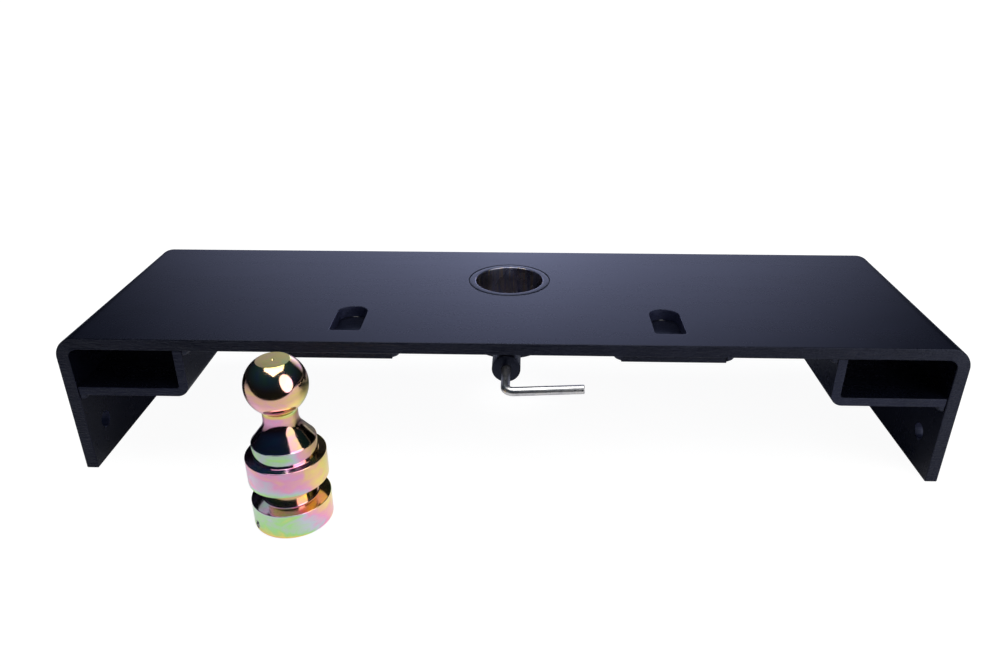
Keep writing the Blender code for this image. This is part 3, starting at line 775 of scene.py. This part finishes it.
def pull_handle():
    """An L of round rod with a bent corner, a neck for the retainer and a rounded end."""
    tip = SOCKET.y - handle_high.y
    length = handle_high.x / cos(BAR_TILT)
    neck = SOCKET.y - (retainer_low.y + retainer_high.y) / 2
    neck_low, neck_high = neck - ROD_NECK_HALF, neck + ROD_NECK_HALF
    path = [
        ((0, 0, tip), ROD_RADIUS - ROD_CHAMFER),
        ((0, 0, tip + ROD_CHAMFER), ROD_RADIUS),
        ((0, 0, neck_low), ROD_RADIUS),
        ((0, 0, neck_low), ROD_NECK_RADIUS),
        ((0, 0, neck_high), ROD_NECK_RADIUS),
        ((0, 0, neck_high), ROD_RADIUS),
    ]
    bend = arc((BAR_BEND_RADIUS, BAR_DISTANCE - BAR_BEND_RADIUS), BAR_BEND_RADIUS, pi, pi / 2, 24)
    path += [((x, 0, z), ROD_RADIUS) for x, z in bend]
    for k in range(5):
        turn = k / 4 * pi / 2
        x = length - ROD_CHAMFER * (1 - sin(turn))
        path.append(((x, 0, BAR_DISTANCE), ROD_RADIUS - ROD_CHAMFER * (1 - cos(turn))))
    points, radii = zip(*path)
    body = moved(swept_rod(points, radii, 48), pin_line_matrix(BAR_TILT))
    rod = new_object("pull_handle_look", body, [ZINC])
    return dress(rod, "handle", "bright_zinc", "pull_handle")


def lock_spring():
    """A copy of the CAD spring in spring steel, its front coil on the cap."""
    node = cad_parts["lock_spring"]
    spring = bpy.data.objects.new("lock_spring_look", node.data.copy())
    spring.matrix_world = node.matrix_world
    bpy.context.scene.collection.objects.link(spring)
    spring.data.materials.clear()
    spring.data.materials.append(WIRE)
    dress(spring, "hitch_frame", "spring_steel", "lock_spring")
    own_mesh(spring)


# ---------------------------------------------------------------- ball


def ball_profile():
    edge, fillet = BALL_EDGE, GROOVE_FILLET
    profile = [(0, 0.0006), (0.012, 0.0006), (0.0125, 0), (RING_RADIUS - 2 * edge, 0)]
    foot = 1.6 * edge
    profile += arc((RING_RADIUS - foot, foot), foot, -pi / 2, 0, 6)[1:]

    def wall(radius, low, high):
        return [(radius, low + (high - low) * k / 14) for k in range(15)]

    def corner(radius, z, up):
        """Small rounding at a ring's edge, going up onto or off its outer face."""
        turn = 0.6 * edge
        start, end = (-pi / 2, 0) if up else (0, pi / 2)
        return arc((radius - turn, z + (turn if up else -turn)), turn, start, end, 4)

    profile += wall(RING_RADIUS, 2 * edge, LOWER_RING_TOP - edge)
    profile += corner(RING_RADIUS, LOWER_RING_TOP, False)
    profile += arc((GROOVE_RADIUS + fillet, LOWER_RING_TOP + fillet), fillet, 1.5 * pi, pi, 6)
    profile += arc((GROOVE_RADIUS + fillet, GROOVE_TOP - fillet), fillet, pi, pi / 2, 6)
    profile += corner(RING_RADIUS, GROOVE_TOP, True)
    profile += wall(RING_RADIUS, GROOVE_TOP + edge, UPPER_RING_TOP - edge)
    profile += corner(RING_RADIUS, UPPER_RING_TOP, False)
    small = 0.0006
    profile += arc((COLLAR_RADIUS + small, UPPER_RING_TOP + small), small, 1.5 * pi, pi, 4)
    profile += corner(COLLAR_RADIUS, COLLAR_TOP + edge * 0.3, False)
    start = (COLLAR_RADIUS - edge, COLLAR_TOP + edge)
    widening = start[0] - NECK_RADIUS - FLARE_FILLET * (1 - cos(FLARE_ANGLE))
    rise = widening / tan(FLARE_ANGLE)
    profile += [(start[0] - widening * k / 20, start[1] + rise * k / 20) for k in range(20)]
    neck_start = start[1] + rise + FLARE_FILLET * sin(FLARE_ANGLE)
    profile += arc((NECK_RADIUS + FLARE_FILLET, neck_start), FLARE_FILLET, pi + FLARE_ANGLE, pi, 24)
    reach = SPHERE_RADIUS + SPHERE_FILLET
    under = acos((NECK_RADIUS + SPHERE_FILLET) / reach)
    neck_end = SPHERE_CENTRE - reach * sin(under)
    profile += arc((NECK_RADIUS + SPHERE_FILLET, neck_end), SPHERE_FILLET, pi, pi - under, 12)
    crown = acos(SPHERE_FLAT / SPHERE_RADIUS)
    profile += arc((0, SPHERE_CENTRE), SPHERE_RADIUS, -under, crown, 72)[1:]
    top = ball_high.z
    profile[-1] = (SPHERE_FLAT, top)
    return profile + [(0.0016, top), (0.0013, top - 0.0003), (0, top - 0.0014)]


def plunger_matrix(depth):
    reach = RING_RADIUS - depth
    spot = BALL + Vector((reach * cos(PLUNGER_ANGLE), reach * sin(PLUNGER_ANGLE), PLUNGER_HEIGHT))
    return Matrix.Translation(spot) @ Matrix.Rotation(PLUNGER_ANGLE, 4, "Z") @ Matrix.Rotation(pi / 2, 4, "Y")


def hitch_ball():
    body = moved(turned(ball_profile(), 160), Matrix.Translation(BALL))
    ball = new_object("hitch_ball_look", body, [YELLOW], angle=24)
    depth = PLUNGER_LENGTH + GAP
    ring = circle((0, 0), PLUNGER_RADIUS + GAP, 40)
    hole = moved(loft([[(x, y, z) for x, y in ring] for z in (-depth, depth)]), plunger_matrix(0))
    boolean_cut(ball, new_object("plunger_hole", hole, [YELLOW]))
    return dress(ball, "ball_post", "yellow_zinc", "hitch_ball")


def detent_plunger():
    face, back = -GAP, -PLUNGER_LENGTH
    round_edge = (PLUNGER_RADIUS - PLUNGER_BORE_RADIUS) / 2
    profile = [(0, back), (PLUNGER_RADIUS, back)]
    profile += arc((PLUNGER_RADIUS - round_edge, face - round_edge), round_edge, 0, pi, 12)
    profile += [(PLUNGER_BORE_RADIUS, back + PLUNGER_FLOOR), (0, back + PLUNGER_FLOOR)]
    body = new_object("plunger_body_look", moved(turned(profile, 48), plunger_matrix(0)), [ZINC])
    dress(body, "ball_post", "bright_zinc", "plunger_body")
    radius = PLUNGER_BALL_RADIUS
    points = arc((0, 0), radius, -pi / 2, pi / 2, 24)
    points[0], points[-1] = (0, -radius), (0, radius)
    place = plunger_matrix(radius - PLUNGER_STAND_OUT)
    # The detent ball is bare steel in the darker spring-steel finish. This is partly painted shade, so the
    # plunger's middle reads as a dark hollow.
    ball = new_object("plunger_ball_look", moved(turned(points, 40), place), [WIRE])
    dress(ball, "detent", "bright_zinc", "plunger_ball")


def carried_nodes():
    """Inner pieces keep their CAD shape and get a finish."""
    for node, finish in (("lock_pin", ZINC), ("handle_retainer", ZINC), ("plunger_spring", WIRE)):
        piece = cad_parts[node]
        piece.data.materials.clear()
        piece.data.materials.append(finish)


# ---------------------------------------------------------------- camera, table and light

TABLE_FRONT = -0.42
TABLE_BACK = 12.0
TABLE_HALF = 9.0
TABLE_DROP = 0.0002             # keeps the table clear of the feet


def camera():
    yaw, pitch, roll = radians(1.735), radians(26.438), radians(0.085)
    focal = 0.7907
    made = bpy.data.objects.new("camera", bpy.data.cameras.new("camera"))
    made.data.sensor_width = 36.0
    made.data.lens = focal * made.data.sensor_width
    turn = Matrix.Rotation(yaw, 4, "Z") @ Matrix.Rotation(-pitch, 4, "X") @ Matrix.Rotation(roll, 4, "Y")
    spot = Vector((0.01481, PLATE_Y - 0.81390, 0.50938))
    made.matrix_world = Matrix.Translation(spot) @ turn @ Matrix.Rotation(pi / 2, 4, "X")
    made.data.clip_start = 0.01
    made.data.clip_end = 100
    bpy.context.scene.collection.objects.link(made)
    bpy.context.scene.camera = made


def faded_strength(tree, radiance, fade, centre):
    """Radiance that falls off round centre. A fade lists (distance, share of the radiance)."""
    place = tree.nodes.new("ShaderNodeTexCoord")
    distance = tree.nodes.new("ShaderNodeVectorMath")
    distance.operation = "DISTANCE"
    distance.inputs[1].default_value = centre
    reach = fade[-1][0]
    scaled = tree.nodes.new("ShaderNodeMath")
    scaled.operation = "DIVIDE"
    scaled.inputs[1].default_value = reach
    curve = tree.nodes.new("ShaderNodeFloatCurve")
    points = curve.mapping.curves[0].points
    for metres, share in fade[1:-1]:
        points.new(metres / reach, share)
    points[0].location = (0.0, fade[0][1])
    points[-1].location = (1.0, fade[-1][1])
    curve.mapping.update()
    power = tree.nodes.new("ShaderNodeMath")
    power.operation = "MULTIPLY"
    power.inputs[1].default_value = radiance
    tree.links.new(place.outputs["Object"], distance.inputs[0])
    tree.links.new(distance.outputs["Value"], scaled.inputs[0])
    tree.links.new(scaled.outputs["Value"], curve.inputs["Value"])
    tree.links.new(curve.outputs["Value"], power.inputs[0])
    return power.outputs["Value"]


def softbox(name, points, radiance, colour=(1, 1, 1), fade=None, centre=(0, 0, 0)):
    """A studio panel through world points. It lights and reflects, but the camera does not see it."""
    bm = bmesh.new()
    bm.faces.new([bm.verts.new(point) for point in points])
    mesh = bpy.data.meshes.new(name)
    bm.to_mesh(mesh)
    bm.free()
    panel = bpy.data.objects.new(name, mesh)
    material = bpy.data.materials.new(name)
    material.use_nodes = True
    tree = material.node_tree
    tree.nodes.clear()
    glow = tree.nodes.new("ShaderNodeEmission")
    glow.inputs["Color"].default_value = (*colour, 1.0)
    glow.inputs["Strength"].default_value = radiance
    if fade:
        tree.links.new(faded_strength(tree, radiance, fade, centre), glow.inputs["Strength"])
    out = tree.nodes.new("ShaderNodeOutputMaterial")
    tree.links.new(glow.outputs["Emission"], out.inputs["Surface"])
    mesh.materials.append(material)
    panel.visible_camera = False
    bpy.context.scene.collection.objects.link(panel)


def table():
    """Pale table top. The camera sees it burnt out to white, with only a trace of shadow. Other rays see
    painted shade, dark grey under and behind the plate, and a painted glow behind the ball.
    """
    finish = Finish("pale_table", (0.80, 0.80, 0.82), 0.7)
    depth = finish.node("ShaderNodeSeparateXYZ")
    finish.link(finish.place, depth.inputs["Vector"])
    # Painted shade: for rays other than the camera's, the table goes from pale to dark grey between y = -0.05
    # and 0.12, under the plate and behind it.
    back = finish.spread(depth.outputs["Y"], 0.0, 1.0, -0.05, 0.12)
    finish.feed("Base Color", finish.mix(back, (0.80, 0.80, 0.82), (0.30, 0.31, 0.36)))
    finish.set("Specular IOR Level", 0.1)
    tree = finish.tree
    rays = finish.node("ShaderNodeLightPath")
    glow = finish.node("ShaderNodeEmission")
    away = finish.node("ShaderNodeVectorMath", operation="LENGTH")
    tree.links.new(finish.place, away.inputs[0])
    tree.links.new(finish.spread(away.outputs["Value"], 0.94, 1.05, 0.4, 1.0), glow.inputs["Strength"])
    faint = finish.node("ShaderNodeBsdfDiffuse")
    faint.inputs["Color"].default_value = (0.16, 0.16, 0.155, 1)
    burnt = finish.node("ShaderNodeAddShader")
    tree.links.new(glow.outputs["Emission"], burnt.inputs[0])
    tree.links.new(faint.outputs["BSDF"], burnt.inputs[1])
    seen = finish.node("ShaderNodeMixShader")
    tree.links.new(rays.outputs["Is Camera Ray"], seen.inputs["Fac"])
    # Painted light: a glow on the table behind the ball, 0.4 near it and fading out by 0.22 m, seen only in
    # reflections.
    behind = finish.node("ShaderNodeVectorMath", operation="DISTANCE")
    behind.inputs[1].default_value = (BALL.x, BALL.y + 0.10, 0.0)
    tree.links.new(finish.place, behind.inputs[0])
    painted_glow = finish.node("ShaderNodeEmission")
    tree.links.new(finish.spread(behind.outputs["Value"], 0.40, 0.0, 0.05, 0.22), painted_glow.inputs["Strength"])
    bright = finish.node("ShaderNodeAddShader")
    tree.links.new(finish.shader.outputs["BSDF"], bright.inputs[0])
    tree.links.new(painted_glow.outputs["Emission"], bright.inputs[1])
    tree.links.new(bright.outputs["Shader"], seen.inputs[1])
    tree.links.new(burnt.outputs["Shader"], seen.inputs[2])
    tree.links.new(seen.outputs["Shader"], tree.nodes["Material Output"].inputs["Surface"])
    bm = bmesh.new()
    corners = [(-TABLE_HALF, TABLE_FRONT), (TABLE_HALF, TABLE_FRONT)]
    corners += [(TABLE_HALF, TABLE_BACK), (-TABLE_HALF, TABLE_BACK)]
    bm.faces.new([bm.verts.new((x, y, -TABLE_DROP)) for x, y in corners])
    new_object("table", bm, [finish.done()])


def studio():
    scene = bpy.context.scene
    scene.view_settings.view_transform = "Standard"
    world = bpy.data.worlds.new("studio")
    world.use_nodes = True
    scene.world = world
    tree = world.node_tree
    room = tree.nodes["Background"]
    place = tree.nodes.new("ShaderNodeTexCoord")
    split = tree.nodes.new("ShaderNodeSeparateXYZ")
    dusk = tree.nodes.new("ShaderNodeValToRGB")
    dusk.color_ramp.elements[0].color = (0.006, 0.008, 0.010, 1)
    dusk.color_ramp.elements[1].color = (0.006, 0.032, 0.062, 1)
    dusk.color_ramp.elements[1].position = 0.8
    tree.links.new(place.outputs["Generated"], split.inputs["Vector"])
    tree.links.new(split.outputs["Z"], dusk.inputs["Fac"])
    tree.links.new(dusk.outputs["Color"], room.inputs["Color"])
    white = tree.nodes.new("ShaderNodeBackground")
    white.inputs["Color"].default_value = (1, 1, 1, 1)
    rays = tree.nodes.new("ShaderNodeLightPath")
    mixed = tree.nodes.new("ShaderNodeMixShader")
    tree.links.new(rays.outputs["Is Camera Ray"], mixed.inputs["Fac"])
    tree.links.new(room.outputs["Background"], mixed.inputs[1])
    tree.links.new(white.outputs["Background"], mixed.inputs[2])
    tree.links.new(mixed.outputs["Shader"], tree.nodes["World Output"].inputs["Surface"])
    aim = Vector((BALL.x, BALL.y, SPHERE_CENTRE))
    above = 1.5
    corners = ((0.14, -0.71), (0.58, -0.03), (0.45, 0.50), (-0.50, 0.50), (-0.50, -0.23))
    softbox("overhead_softbox", [aim + above * Vector((x, y, 1)) for x, y in corners], 3.0)

    azimuth, rise, away = radians(122), radians(20), 1.5
    outward = Vector((sin(azimuth) * cos(rise), cos(azimuth) * cos(rise), sin(rise)))
    aside = outward.cross(Vector((0, 0, 1))).normalized()
    upward = aside.cross(outward)
    oval = [0.60 * x * aside + 0.92 * y * upward for x, y in circle((0, 0), 1.0, 48)]
    softbox("key_softbox", [aim + away * outward + point for point in oval], 2.2)

    def upright(half_width, y, low, high):
        return [(-half_width, y, low), (half_width, y, low), (half_width, y, high), (-half_width, y, high)]

    cool = (0.92, 1.0, 1.50)
    fade = [
        (0.0, 1.0), (0.38, 0.42), (0.57, 0.34), (0.73, 0.29), (0.88, 0.26), (1.10, 0.21),
        (1.40, 0.130), (1.83, 0.035), (2.2, 0.002), (2.4, 0.0),
    ]
    softbox("rear_softbox", upright(2.3, 2.25, 0.0, 1.60), 2.75, cool, fade, (0, 2.25, 0.55))


camera()
table()
studio()
center_plate()
for side in (-1, 1):
    pocket_angle(side)
    chain_plate(side)
all_straight_welds()
socket_weld()
housing_weld()
socket_tube()
pin_housing()
housing_cap()
pull_handle()
hitch_ball()
detent_plunger()
lock_spring()
carried_nodes()
